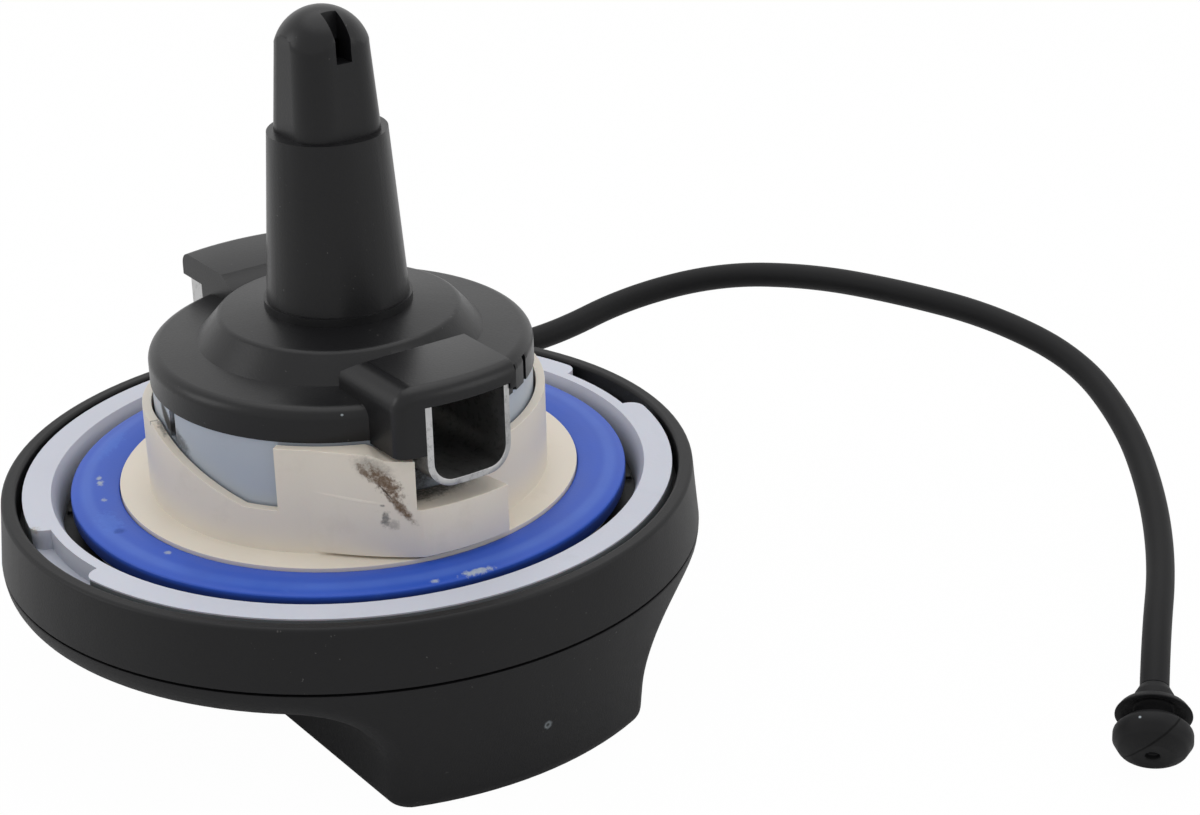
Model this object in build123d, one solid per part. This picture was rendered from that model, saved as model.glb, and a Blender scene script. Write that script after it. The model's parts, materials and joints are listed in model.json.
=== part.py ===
from build123d import *
import math
import os

# Bayonet fuel filler cap, standing upside down on its grip bar, in millimetres.
# +Z runs up the cap's axis towards the tank side, +X runs along the grip bar and the lugs,
# and the origin is the centre of the grip bar's foot.

os.makedirs("parts", exist_ok=True)

# ---- general clearances ----
RUNNING_GAP = 0.05        # radial, a shaft turning or sliding in its hole
SEAT_GAP = 0.05           # axial, a moving face resting on its seat
MOVING_GAP = 0.3          # between moulded faces of different moving pieces

# ---- grip ----
RIM_R = 41.0              # grip disc at the seam
GRIP_FOOT_R = RIM_R - 2.1  # end faces of the grip bar at its foot
FOOT_PAD_HEIGHT = 0.35    # flat panel that the bar stands on
FOOT_PAD_MARGIN = 3.8
SEAM_Z = 16.8             # top of the grip disc
DISC_THICKNESS = 3.5
BAR_HALF_WIDTH = 16.8
BAR_SIDE_FILLET = 8.0     # concave, bar side to disc underside
BAR_END_FILLET = 3.2
BAR_FOOT_FILLET = 2.0
CUP_WALL_R = RIM_R - 4.1  # upstanding wall that carries the tether ring
CUP_WALL_TOP_Z = 21.0
CUP_MOUTH_R = CUP_WALL_R - 2.0
CUP_FLOOR_Z = 15.0
TOOTH_TOP_Z = 18.6
TOOTH_COUNT = 24
TOOTH_ROOT_R = CUP_MOUTH_R - 1.7
TOOTH_TIP_R = TOOTH_ROOT_R - 1.5
SCREW_WELL_R = 8.0
SCREW_WELL_DEPTH = 2.6
POCKET_FLOOR_Z = 3.0      # hollow inside the grip bar
POCKET_WALL = 3.0
POCKET_RIB = 2.0
POCKET_CORNER_R = 2.0

# ---- tether ring around the cup wall ----
TETHER_RING_TOP_Z = 24.5
TETHER_RING_TOP_R = RIM_R - 0.7
TETHER_RING_BORE_R = TETHER_RING_TOP_R - 1.7
TETHER_LIP_TOP_Z = 20.6
TETHER_EDGE_R = 0.5
SEAM_GAP = 0.35

# ---- retaining ring ----
RETAINER_R = TETHER_RING_BORE_R - 0.7
RETAINER_BORE_R = RETAINER_R - 3.27
RETAINER_TOP_Z = 24.4
RETAINER_SKIRT_BORE_R = CUP_MOUTH_R - 1.4
RETAINER_NOTCH_DEPTH = 2.0
RETAINER_NOTCH_ANGLE = 19.0
RETAINER_NOTCH_CORNER_R = 1.8

# ---- clutch cover, drive plate and click ring ----
COVER_THICKNESS = 1.5
COVER_RIB_COUNT = 6
COVER_RIB_HEIGHT = 0.5
COVER_RIB_WIDTH = 0.9
COVER_RIB_LENGTH = 10.9   # inwards from the cup's mouth
COVER_RIB_INNER_R = CUP_MOUTH_R - COVER_RIB_LENGTH
PLATE_TOOTH_GAP = 7.7     # room for the click ring and its arms
PLATE_R = TOOTH_TIP_R - PLATE_TOOTH_GAP
PLATE_THICKNESS = 2.0
PLATE_KEY_COUNT = 4
PLATE_KEY_LENGTH = 1.2
PLATE_KEY_WIDTH = 5.0
CLICK_RING_WIDTH = 2.4
CLICK_RING_HEIGHT = 2.6
CLICK_ARM_WIDTH = 1.3
CLICK_ARM_SWEEP = 45.0
CLICK_TIP_R = TOOTH_ROOT_R - 0.6
CLICK_ARM_END_R = TOOTH_TIP_R - 1.3
CLICK_FIT = 0.05

# ---- drive shaft and its fittings ----
SHAFT_R = 5.2
SHAFT_SHOULDER_R = 7.0
SHAFT_ROUND_TOP_Z = 27.0
SHAFT_HEX_FLATS = 6.0
SHAFT_TOP_Z = 58.5
PLATE_HEX_FLATS = 8.0
SCREW_R = 1.5
SCREW_HEAD_R = 5.6
SCREW_HEAD_HEIGHT = 1.6
SCREW_LENGTH = 9.0
SCREW_SLOT_WIDTH = 1.0
SCREW_SLOT_DEPTH = 0.7
O_RING_SECTION_R = 0.75
O_RING_Z = 22.2
CLIP_GROOVE_R = 2.3
CLIP_R = 4.4
CLIP_THICKNESS = 0.7
CLIP_TOP_MARGIN = 0.8
WASHER_R = 4.8
WASHER_THICKNESS = 0.6

# ---- closure collar and seal ----
SEAL_R = RETAINER_SKIRT_BORE_R - 1.1
FLANGE_R = SEAL_R - 0.8
FLANGE_BOTTOM_Z = 21.2
FLANGE_THICKNESS = 1.0
COLLAR_BORE_R = 22.2
COLLAR_R = COLLAR_BORE_R + 1.05
STEP_R = COLLAR_R + 3.45
STEP_TOP_Z = 24.5
COLLAR_WEB_THICKNESS = 2.0
COLLAR_HUB_R = 8.0
COLLAR_HUB_TOP_Z = 26.5
COLLAR_VENT_COUNT = 6
COLLAR_VENT_R = 1.2
BULGE_R = COLLAR_R + 3.95
BULGE_START = -42.0       # degrees, where the spiral bulge leaves the round wall
BULGE_FULL = -13.0
BULGE_END = 10.0
BULGE_BOTTOM_Z = 24.8
SEAL_FIT = 0.05
SEAL_EDGE_Z = 24.1
SEAL_CROWN = 0.35

# ---- bayonet body, channel, sleeve ----
SKIRT_R = COLLAR_BORE_R - 0.1
SKIRT_BORE_R = SKIRT_R - 1.1
SKIRT_BOTTOM_Z = 37.3
SKIRT_CEILING_Z = 39.6
DISC_RIM_Z = 41.1
DISC_EDGE_FILLET = 1.5
BOSS_BASE_R = 16.4
BOSS_BASE_Z = 41.5
BOSS_TOP_R = 13.8
BOSS_TOP_Z = 44.5
BOSS_TOP_FILLET = 1.0
BOSS_CENTRE_Z = 45.1
STEM_FOOT_R = 8.5
STEM_FOOT_HEIGHT = 1.0
STEM_BASE_R = 8.15
STEM_TOP_R = 6.8
STEM_TOP_Z = 65.7
STEM_BORE_R = 5.2
SPRING_LEDGE_Z = 46.0
LUG_R = BULGE_R + 0.3
LUG_RIDGE_X = 16.6        # inner end of the lug's roof
LUG_INNER_X = 14.3
LUG_INNER_Z = 43.3
LUG_TOP_Z = 44.7
LUG_BOTTOM_Z = 36.9
LUG_THIN_SIDE = 6.3       # lug face beyond the channel's free side
LUG_THICK_SIDE = 8.6
LUG_THIN_SIDE_BOTTOM_Z = 41.8
LUG_SHOULDER_FILLET = 2.6
LUG_END_FILLET = 1.6
TONGUE_ANGLE = 34.0
TONGUE_SLOT_ANGLE = 4.0   # from the tongue's middle to each slot
TONGUE_SLOT_WIDTH = 0.9
TONGUE_SLOT_TOP_Z = 40.4
CHANNEL_BOTTOM_Z = 32.7
CHANNEL_HEIGHT = 9.8
CHANNEL_HALF_WIDTH = 5.35
CHANNEL_SHEET = 0.75
CHANNEL_BEND_R = 3.0      # outside radius
CHANNEL_HALF_LENGTH = LUG_R - 0.2
CHANNEL_FIT = 0.1
SLEEVE_R = COLLAR_BORE_R - MOVING_GAP
SLEEVE_BORE_R = SLEEVE_R - 1.9
SLEEVE_BOTTOM_Z = 25.0
SLEEVE_SPIGOT_HEIGHT = 2.0
SLEEVE_CHANNEL_GAP = 0.25
SLEEVE_SLOT_WIDTH = 1.3
SLEEVE_SLOT_HEIGHT = 3.4

# ---- collar top: posts, notches and cams, angles in degrees from a lug's axis ----
POST_TOP_Z = SKIRT_BOTTOM_Z - MOVING_GAP
POST_START = -49.5
POST_STEP_START = -24.5
POST_STEP_END = -20.5
POST_STEP_TOP_Z = LUG_BOTTOM_Z - 2 * MOVING_GAP
NOTCH_HALF_ANGLE = 14.2
NOTCH_FLOOR_Z = 30.5
CAM_START = 18.5
CAM_START_Z = 33.85
CAM_END = 81.5
CAM_END_Z = 34.85
BACK_RAMP_END = 120.0
WINDOW_FLOOR_Z = 29.5
WINDOW_END = POST_START + 180.0

# ---- valves ----
VACUUM_PLATE_R = 14.4
VACUUM_PLATE_BORE_R = 8.8
VACUUM_PLATE_THICKNESS = 1.0
VACUUM_SEAL_THICKNESS = 0.8
VACUUM_SPRING_R = 11.6
VACUUM_WIRE_R = 0.45
VACUUM_SPRING_TURNS = 3
CAGE_WALL_R = 16.8
CAGE_WALL = 1.2
CAGE_TOP_Z = 30.4
CAGE_TOP_THICKNESS = 1.0
CAGE_BORE_R = 8.8
CAGE_WINDOW_COUNT = 6
CAGE_WINDOW_WIDTH = 4.0
LIFT_SPRING_R = 4.45
LIFT_WIRE_R = 0.4
LIFT_SPRING_TURNS = 5
RELIEF_SPRING_R = 2.5
RELIEF_WIRE_R = 0.28
RELIEF_SPRING_TURNS = 6
POPPET_R = 2.9
POPPET_THICKNESS = 1.0
POPPET_STEM_R = 0.9
POPPET_STEM_LENGTH = 3.0

# ---- vent tip ----
TIP_HALF_WIDTH = 5.35
TIP_TOP_HALF_WIDTH = 4.75
TIP_CORNER_R = 3.6
TIP_TOP_Z = 79.7
TIP_DOME_HEIGHT = 4.2
TIP_SPIGOT_LENGTH = 5.0
TIP_CHAMBER_R = 3.4
TIP_SEAT_Z = TIP_TOP_Z - 7.9
TIP_SEAT_THICKNESS = 1.2
TIP_SEAT_HOLE_R = 1.5
TIP_SLOT_WIDTH = 1.9
TIP_SLOT_BOTTOM_Z = TIP_TOP_Z - 5.5
TIP_SLOT_DEPTH = 2.9
TIP_SLOT_TOP_Z = TIP_TOP_Z - 0.6
RELIEF_RETAINER_THICKNESS = 1.2

# ---- tether strap and its plug ----
STRAP_R = 1.65
STRAP_START_OUT = 2.14    # from the ring's rim
STRAP_START_ANGLE = 134.06
STRAP_START_Z = 19.3
STRAP_OFFSETS = [         # of the route's points from its start
    (0.0, 0.0, 0.0), (0.8, 6.5, -0.4), (2.8, 16.5, 0.2), (4.0, 28.5, 3.2), (11.5, 38.8, 6.4),
    (22.4, 45.9, 7.7), (34.4, 51.0, 7.8), (46.1, 56.7, 6.6), (58.6, 59.9, 3.8), (70.9, 56.3, 0.3),
    (81.6, 49.9, -3.3), (91.3, 41.6, -6.4), (99.6, 32.0, -9.0), (103.9, 27.5, -12.1),
]
STRAP_BEND_SHARE = 0.45   # of the shorter run beside each bend
ROOT_R = 2.05
ROOT_LENGTH = 4.6
PLUG_COLLAR_R = 2.2
PLUG_COLLAR_LENGTH = 2.2
PLUG_CUP_R = 4.35
PLUG_CUP_LENGTH = 1.5
PLUG_CUP_WALL = 0.6
PLUG_NECK_R = 1.9
PLUG_NECK_LENGTH = 2.0
PLUG_HEAD_R = 4.4
PLUG_HEAD_LENGTH = 4.0
PLUG_DIMPLE_R = 0.8
PLUG_DIMPLE_DEPTH = 0.8

# ---- places that follow from the sizes above ----
DISC_UNDERSIDE_Z = SEAM_Z - DISC_THICKNESS
COVER_BOTTOM_Z = TOOTH_TOP_Z + 0.1
COVER_TOP_Z = COVER_BOTTOM_Z + COVER_THICKNESS
PLATE_BOTTOM_Z = CUP_FLOOR_Z + 2 * SEAT_GAP
PLATE_TOP_Z = PLATE_BOTTOM_Z + PLATE_THICKNESS
SHOULDER_TOP_Z = FLANGE_BOTTOM_Z - SEAT_GAP
WEB_TOP_Z = FLANGE_BOTTOM_Z + COLLAR_WEB_THICKNESS
FLANGE_TOP_Z = FLANGE_BOTTOM_Z + FLANGE_THICKNESS
CLIP_BOTTOM_Z = SHAFT_TOP_Z - CLIP_TOP_MARGIN - CLIP_THICKNESS
WASHER_BOTTOM_Z = CLIP_BOTTOM_Z - WASHER_THICKNESS
CHANNEL_TOP_Z = CHANNEL_BOTTOM_Z + CHANNEL_HEIGHT
VACUUM_SEAL_BOTTOM_Z = WEB_TOP_Z + SEAT_GAP
VACUUM_PLATE_BOTTOM_Z = VACUUM_SEAL_BOTTOM_Z + VACUUM_SEAL_THICKNESS
VACUUM_PLATE_TOP_Z = VACUUM_PLATE_BOTTOM_Z + VACUUM_PLATE_THICKNESS
CAGE_CEILING_Z = CAGE_TOP_Z - CAGE_TOP_THICKNESS
TIP_SPIGOT_BOTTOM_Z = STEM_TOP_Z - TIP_SPIGOT_LENGTH
POPPET_TOP_Z = TIP_SEAT_Z - SEAT_GAP
RELIEF_RETAINER_TOP_Z = TIP_SPIGOT_BOTTOM_Z + RELIEF_RETAINER_THICKNESS


def polar(radius, angle, z=0.0):
    turn = math.radians(angle)
    return Vector(radius * math.cos(turn), radius * math.sin(turn), z)


STRAP_POINTS = [polar(RIM_R + STRAP_START_OUT, STRAP_START_ANGLE, STRAP_START_Z) + Vector(*offset)
                for offset in STRAP_OFFSETS]


def tube(outer_r, inner_r, bottom_z, top_z):
    section = Circle(outer_r)
    if inner_r > 0:
        section -= Circle(inner_r)
    return Pos(0, 0, bottom_z) * extrude(section, top_z - bottom_z)


def sector(inner_r, outer_r, start, end, bottom_z, top_z):
    middle = (start + end) / 2
    outline = [
        Line(polar(inner_r, start), polar(outer_r, start)),
        ThreePointArc(polar(outer_r, start), polar(outer_r, middle), polar(outer_r, end)),
        Line(polar(outer_r, end), polar(inner_r, end)),
        ThreePointArc(polar(inner_r, end), polar(inner_r, middle), polar(inner_r, start)),
    ]
    return Pos(0, 0, bottom_z) * extrude(make_face(outline), top_z - bottom_z)


def turned(points, rounded=()):
    """Solid of revolution about Z from (radius, z) points, with ((radius, z), fillet) pairs rounded."""
    outline = make_face(Polyline(*points, close=True))
    for corner, corner_r in rounded:
        outline = fillet(outline.vertices().sort_by_distance(Vector(*corner))[0], corner_r)
    return revolve(Plane.XZ * outline, Axis.Z)


def block(x_min, x_max, y_min, y_max, z_min, z_max):
    centre = ((x_min + x_max) / 2, (y_min + y_max) / 2, (z_min + z_max) / 2)
    return Pos(*centre) * Box(x_max - x_min, y_max - y_min, z_max - z_min)


def hexagon(flats, bottom_z, top_z):
    return Pos(0, 0, bottom_z) * extrude(RegularPolygon(flats / 2, 6, major_radius=False), top_z - bottom_z)


def compression_spring(mean_r, wire_r, bottom_z, top_z, turns):
    """Coil with a closed turn at each end."""
    low = bottom_z + wire_r
    high = top_z - wire_r
    path = Helix(pitch=(high - low) / turns, height=high - low, radius=mean_r)
    wire = Plane(path @ 0, z_dir=path % 0) * RegularPolygon(wire_r, 8)
    coil = Pos(0, 0, low) * sweep(wire, path=path, is_frenet=True)
    end_turn = Plane.XZ * Pos(mean_r, 0) * RegularPolygon(wire_r, 8)
    lower_end = Pos(0, 0, low) * revolve(end_turn, Axis.Z)
    upper_end = Pos(0, 0, high) * revolve(end_turn, Axis.Z)
    return coil + lower_end + upper_end


def both_sides(piece):
    return piece + Rot(0, 0, 180) * piece


# ---------------------------------------------------------------- grip and clutch

def grip_shell():
    body = turned([(0, FOOT_PAD_HEIGHT), (GRIP_FOOT_R, FOOT_PAD_HEIGHT), (RIM_R, SEAM_Z), (0, SEAM_Z)])
    recess = block(-2 * RIM_R, 2 * RIM_R, BAR_HALF_WIDTH, 2 * RIM_R, -RIM_R, DISC_UNDERSIDE_Z)
    inner_edge = recess.edges().filter_by(Axis.X).filter_by(
        lambda e: abs(e.center().Y - BAR_HALF_WIDTH) < 0.01 and abs(e.center().Z - DISC_UNDERSIDE_Z) < 0.01)
    recess = fillet(inner_edge, BAR_SIDE_FILLET)
    body -= both_sides(recess)
    corners = [
        e for e in body.edges()
        if e.length > 5 and FOOT_PAD_HEIGHT + 0.1 < e.center().Z < SEAM_Z - 0.1
        and math.hypot(e.center().X, e.center().Y) > GRIP_FOOT_R - 4
    ]
    body = fillet(corners, BAR_END_FILLET)
    foot = body.faces().sort_by(Axis.Z)[0]
    body = fillet(foot.edges(), BAR_FOOT_FILLET)
    pad_x = GRIP_FOOT_R - 1.3 * FOOT_PAD_MARGIN
    pad_y = BAR_HALF_WIDTH - FOOT_PAD_MARGIN
    body += block(-pad_x, pad_x, -pad_y, pad_y, 0, BAR_FOOT_FILLET)
    body += tube(CUP_WALL_R, 0, SEAM_Z, CUP_WALL_TOP_Z)
    body -= tube(CUP_MOUTH_R, 0, TOOTH_TOP_Z, CUP_WALL_TOP_Z)
    body -= clutch_cavity()
    body -= tube(SCREW_WELL_R, 0, CUP_FLOOR_Z - SCREW_WELL_DEPTH, CUP_FLOOR_Z)
    for pocket in bar_pockets():
        body -= pocket
    return body


def clutch_cavity():
    step = 360.0 / TOOTH_COUNT
    outline = []
    for tooth in range(TOOTH_COUNT):
        outline.append(polar(TOOTH_ROOT_R, tooth * step))
        outline.append(polar(TOOTH_TIP_R, (tooth + 0.5) * step))
    cavity = extrude(make_face(Polyline(*outline, close=True)), TOOTH_TOP_Z - CUP_FLOOR_Z)
    return Pos(0, 0, CUP_FLOOR_Z) * cavity


def bar_pockets():
    half_width = BAR_HALF_WIDTH - POCKET_WALL
    length = (TOOTH_TIP_R - POCKET_WALL - SCREW_WELL_R - POCKET_RIB)
    pocket = Box(length, 2 * half_width, CUP_FLOOR_Z - POCKET_FLOOR_Z)
    pocket = fillet(pocket.edges().filter_by(Axis.Z), POCKET_CORNER_R)
    reach = SCREW_WELL_R + POCKET_RIB + length / 2
    height = (CUP_FLOOR_Z + POCKET_FLOOR_Z) / 2
    corner_limit = tube(TOOTH_TIP_R - POCKET_RIB, 0, POCKET_FLOOR_Z, CUP_FLOOR_Z)
    return [(Pos(side * reach, 0, height) * pocket) & corner_limit for side in (1, -1)]


def clutch_cover():
    plate = tube(CUP_MOUTH_R - RUNNING_GAP, SHAFT_SHOULDER_R + MOVING_GAP, COVER_BOTTOM_Z, COVER_TOP_Z)
    rib = block(COVER_RIB_INNER_R, RETAINER_SKIRT_BORE_R - MOVING_GAP, -COVER_RIB_WIDTH / 2, COVER_RIB_WIDTH / 2,
                COVER_TOP_Z, COVER_TOP_Z + COVER_RIB_HEIGHT)
    for count in range(COVER_RIB_COUNT):
        plate += Rot(0, 0, count * 360.0 / COVER_RIB_COUNT) * rib
    return plate


def retaining_ring():
    lean = ThreePointArc(
        (RETAINER_BORE_R, RETAINER_TOP_Z),
        (RETAINER_BORE_R - 0.75, (RETAINER_TOP_Z + COVER_TOP_Z) / 2 + 0.6),
        (RETAINER_SKIRT_BORE_R, COVER_TOP_Z))
    rest = Polyline(
        (RETAINER_SKIRT_BORE_R, COVER_TOP_Z), (CUP_MOUTH_R - RUNNING_GAP, COVER_TOP_Z),
        (CUP_MOUTH_R - RUNNING_GAP, CUP_WALL_TOP_Z), (RETAINER_R, CUP_WALL_TOP_Z),
        (RETAINER_R, RETAINER_TOP_Z), (RETAINER_BORE_R, RETAINER_TOP_Z))
    ring = revolve(Plane.XZ * make_face([lean, rest]), Axis.Z)
    notch = sector(RETAINER_R - RETAINER_NOTCH_DEPTH, RETAINER_R + 1, 90 - RETAINER_NOTCH_ANGLE / 2,
                   90 + RETAINER_NOTCH_ANGLE / 2, CUP_WALL_TOP_Z + 1.0, RETAINER_TOP_Z + 1)
    ring -= both_sides(notch)
    corners = ring.edges().filter_by(Axis.Z).filter_by(
        lambda e: abs(math.hypot(e.center().X, e.center().Y) - RETAINER_R) < 0.01)
    return fillet(corners, RETAINER_NOTCH_CORNER_R)


def drive_plate():
    plate = tube(PLATE_R, 0, PLATE_BOTTOM_Z, PLATE_TOP_Z)
    key = block(PLATE_R - 1, PLATE_R + PLATE_KEY_LENGTH, -PLATE_KEY_WIDTH / 2, PLATE_KEY_WIDTH / 2,
                PLATE_BOTTOM_Z, PLATE_TOP_Z)
    for count in range(PLATE_KEY_COUNT):
        plate += Rot(0, 0, count * 360.0 / PLATE_KEY_COUNT) * key
    return plate - hexagon(PLATE_HEX_FLATS + 2 * RUNNING_GAP, PLATE_BOTTOM_Z, PLATE_TOP_Z)


def click_ring():
    bore_r = PLATE_R + CLICK_FIT
    ring_r = bore_r + CLICK_RING_WIDTH
    step = 360.0 / PLATE_KEY_COUNT
    ring = Circle(ring_r) - Circle(bore_r)
    key_slot = Pos(PLATE_R, 0) * Rectangle(2 * (PLATE_KEY_LENGTH + CLICK_FIT), PLATE_KEY_WIDTH + 2 * CLICK_FIT)
    arm_start_r = ring_r - CLICK_ARM_WIDTH / 2
    arm_path = ThreePointArc(polar(arm_start_r, step - CLICK_ARM_SWEEP),
                             polar((arm_start_r + CLICK_ARM_END_R) / 2 + 0.8, step - CLICK_ARM_SWEEP / 2),
                             polar(CLICK_ARM_END_R, step))
    arm = trace(arm_path, CLICK_ARM_WIDTH)
    half_tip = 360.0 / TOOTH_COUNT / 5
    tip = make_face(Polyline(polar(CLICK_ARM_END_R - CLICK_ARM_WIDTH / 2, step - half_tip),
                             polar(CLICK_ARM_END_R + CLICK_ARM_WIDTH / 2, step - half_tip),
                             polar(CLICK_TIP_R, step),
                             polar(CLICK_ARM_END_R + CLICK_ARM_WIDTH / 2, step + half_tip / 2),
                             polar(CLICK_ARM_END_R - CLICK_ARM_WIDTH / 2, step + half_tip / 2), close=True))
    section = ring
    for count in range(PLATE_KEY_COUNT):
        place = Rot(0, 0, count * step)
        section = section + place * arm + place * tip - place * key_slot
    return Pos(0, 0, PLATE_BOTTOM_Z) * extrude(section, CLICK_RING_HEIGHT)


# ---------------------------------------------------------------- drive shaft

def drive_shaft():
    shaft = hexagon(PLATE_HEX_FLATS, PLATE_BOTTOM_Z, PLATE_TOP_Z)
    shaft += tube(SHAFT_SHOULDER_R, 0, PLATE_TOP_Z, SHOULDER_TOP_Z)
    shaft += tube(SHAFT_R, 0, SHOULDER_TOP_Z, SHAFT_ROUND_TOP_Z)
    shaft += hexagon(SHAFT_HEX_FLATS, SHAFT_ROUND_TOP_Z, SHAFT_TOP_Z)
    groove_r = SHAFT_R + RUNNING_GAP - 2 * O_RING_SECTION_R
    shaft -= tube(SHAFT_R + 1, groove_r, O_RING_Z - O_RING_SECTION_R, O_RING_Z + O_RING_SECTION_R)
    shaft -= tube(SHAFT_R, CLIP_GROOVE_R, CLIP_BOTTOM_Z, CLIP_BOTTOM_Z + CLIP_THICKNESS)
    shaft -= tube(SCREW_R, 0, PLATE_BOTTOM_Z, PLATE_BOTTOM_Z + SCREW_LENGTH)
    return shaft


def drive_screw():
    screw = tube(SCREW_HEAD_R, 0, PLATE_BOTTOM_Z - SCREW_HEAD_HEIGHT, PLATE_BOTTOM_Z)
    screw += tube(SCREW_R, 0, PLATE_BOTTOM_Z, PLATE_BOTTOM_Z + SCREW_LENGTH)
    head_z = PLATE_BOTTOM_Z - SCREW_HEAD_HEIGHT
    for turn in (0, 90):
        screw -= Pos(0, 0, head_z + SCREW_SLOT_DEPTH / 2) * Rot(0, 0, turn) * Box(
            SCREW_HEAD_R, SCREW_SLOT_WIDTH, SCREW_SLOT_DEPTH)
    return screw


def shaft_o_ring():
    return Pos(0, 0, O_RING_Z) * Torus(SHAFT_R + RUNNING_GAP - O_RING_SECTION_R, O_RING_SECTION_R)


def shaft_washer():
    hole_r = SHAFT_HEX_FLATS / math.sqrt(3) + RUNNING_GAP
    return tube(WASHER_R, hole_r, WASHER_BOTTOM_Z, CLIP_BOTTOM_Z)


def shaft_clip():
    clip = tube(CLIP_R, CLIP_GROOVE_R, CLIP_BOTTOM_Z, CLIP_BOTTOM_Z + CLIP_THICKNESS)
    return clip - block(0, CLIP_R + 1, -CLIP_GROOVE_R * 0.8, CLIP_GROOVE_R * 0.8, CLIP_BOTTOM_Z, SHAFT_TOP_Z)


def lift_spring():
    return compression_spring(LIFT_SPRING_R, LIFT_WIRE_R, SPRING_LEDGE_Z, WASHER_BOTTOM_Z, LIFT_SPRING_TURNS)


# ---------------------------------------------------------------- closure collar

def ramp_cutter(start_angle, start_z, end_angle, end_z):
    """Everything above a helical ramp that climbs from start to end, across the collar wall."""
    inner_r = COLLAR_BORE_R - 1
    outer_r = BULGE_R + 1
    height = POST_TOP_Z + 3 - start_z
    sweep_angle = abs(end_angle - start_angle)
    path = Helix(pitch=(end_z - start_z) * 360.0 / sweep_angle, height=end_z - start_z,
                 radius=(inner_r + outer_r) / 2, lefthand=end_angle < start_angle)
    section = Plane.XZ * Pos((inner_r + outer_r) / 2, height / 2) * Rectangle(outer_r - inner_r, height)
    return Pos(0, 0, start_z) * Rot(0, 0, start_angle) * sweep(section, path=path, is_frenet=True)


def level_cutter(start_angle, end_angle, floor_z):
    return sector(COLLAR_BORE_R - 1, BULGE_R + 1, start_angle, end_angle, floor_z, POST_TOP_Z + 5)


def spiral_bulge():
    full = polar(BULGE_R, BULGE_FULL)
    end = polar(BULGE_R, BULGE_END)
    outline = [
        ThreePointArc(polar(COLLAR_R - 0.2, BULGE_START), polar((COLLAR_R + BULGE_R) / 2 - 0.5,
                      (BULGE_START + BULGE_FULL) / 2), full),
        ThreePointArc(full, polar(BULGE_R, (BULGE_FULL + BULGE_END) / 2), end),
        Line(end, polar(COLLAR_BORE_R, BULGE_END)),
        ThreePointArc(polar(COLLAR_BORE_R, BULGE_END), polar(COLLAR_BORE_R, (BULGE_START + BULGE_END) / 2),
                      polar(COLLAR_BORE_R, BULGE_START)),
        Line(polar(COLLAR_BORE_R, BULGE_START), polar(COLLAR_R - 0.2, BULGE_START)),
    ]
    return Pos(0, 0, BULGE_BOTTOM_Z) * extrude(make_face(outline), POST_TOP_Z - BULGE_BOTTOM_Z)


def closure_collar():
    collar = tube(FLANGE_R, 0, FLANGE_BOTTOM_Z, FLANGE_TOP_Z)
    collar += tube(STEP_R, 0, FLANGE_TOP_Z, STEP_TOP_Z)
    collar += tube(COLLAR_R, 0, STEP_TOP_Z, POST_TOP_Z)
    collar += both_sides(spiral_bulge())
    collar -= tube(COLLAR_BORE_R, 0, WEB_TOP_Z, POST_TOP_Z + 1)
    collar += tube(COLLAR_HUB_R, 0, FLANGE_BOTTOM_Z, COLLAR_HUB_TOP_Z)
    collar -= tube(SHAFT_R + 2 * RUNNING_GAP, 0, FLANGE_BOTTOM_Z - 1, COLLAR_HUB_TOP_Z + 1)
    vent_r = (VACUUM_PLATE_R + VACUUM_PLATE_BORE_R) / 2
    for count in range(COLLAR_VENT_COUNT):
        collar -= Rot(0, 0, count * 360.0 / COLLAR_VENT_COUNT) * Pos(vent_r, 0, WEB_TOP_Z) * Cylinder(
            COLLAR_VENT_R, 4 * COLLAR_WEB_THICKNESS)
    cuts = [
        level_cutter(POST_STEP_END, -NOTCH_HALF_ANGLE, POST_STEP_TOP_Z),
        ramp_cutter(POST_STEP_END, POST_STEP_TOP_Z, POST_STEP_START, POST_TOP_Z),
        level_cutter(-NOTCH_HALF_ANGLE, NOTCH_HALF_ANGLE, NOTCH_FLOOR_Z),
        ramp_cutter(NOTCH_HALF_ANGLE, NOTCH_FLOOR_Z, CAM_START, CAM_START_Z),
        ramp_cutter(CAM_START, CAM_START_Z, CAM_END, CAM_END_Z),
        ramp_cutter(BACK_RAMP_END, WINDOW_FLOOR_Z, CAM_END, CAM_END_Z),
        level_cutter(BACK_RAMP_END, WINDOW_END, WINDOW_FLOOR_Z),
    ]
    for cut in cuts:
        collar -= cut
        collar -= Rot(0, 0, 180) * cut
    return collar


def seal_ring():
    inner_r = STEP_R + SEAL_FIT
    middle_r = (inner_r + SEAL_R) / 2
    crown = ThreePointArc((SEAL_R, SEAL_EDGE_Z), (middle_r, SEAL_EDGE_Z + SEAL_CROWN), (inner_r, SEAL_EDGE_Z))
    rest = Polyline((inner_r, SEAL_EDGE_Z), (inner_r, FLANGE_TOP_Z), (SEAL_R, FLANGE_TOP_Z), (SEAL_R, SEAL_EDGE_Z))
    return revolve(Plane.XZ * make_face([crown, rest]), Axis.Z)


def vacuum_valve_seal():
    return tube(VACUUM_PLATE_R, VACUUM_PLATE_BORE_R, VACUUM_SEAL_BOTTOM_Z, VACUUM_PLATE_BOTTOM_Z)


def vacuum_valve_plate():
    plate = tube(VACUUM_PLATE_R, VACUUM_PLATE_BORE_R, VACUUM_PLATE_BOTTOM_Z, VACUUM_PLATE_TOP_Z)
    guide_r = VACUUM_SPRING_R - VACUUM_WIRE_R - SEAT_GAP
    return plate + tube(guide_r, guide_r - 1, VACUUM_PLATE_TOP_Z, VACUUM_PLATE_TOP_Z + 1)


def vacuum_valve_spring():
    return compression_spring(VACUUM_SPRING_R, VACUUM_WIRE_R, VACUUM_PLATE_TOP_Z + SEAT_GAP, CAGE_CEILING_Z,
                              VACUUM_SPRING_TURNS)


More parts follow.
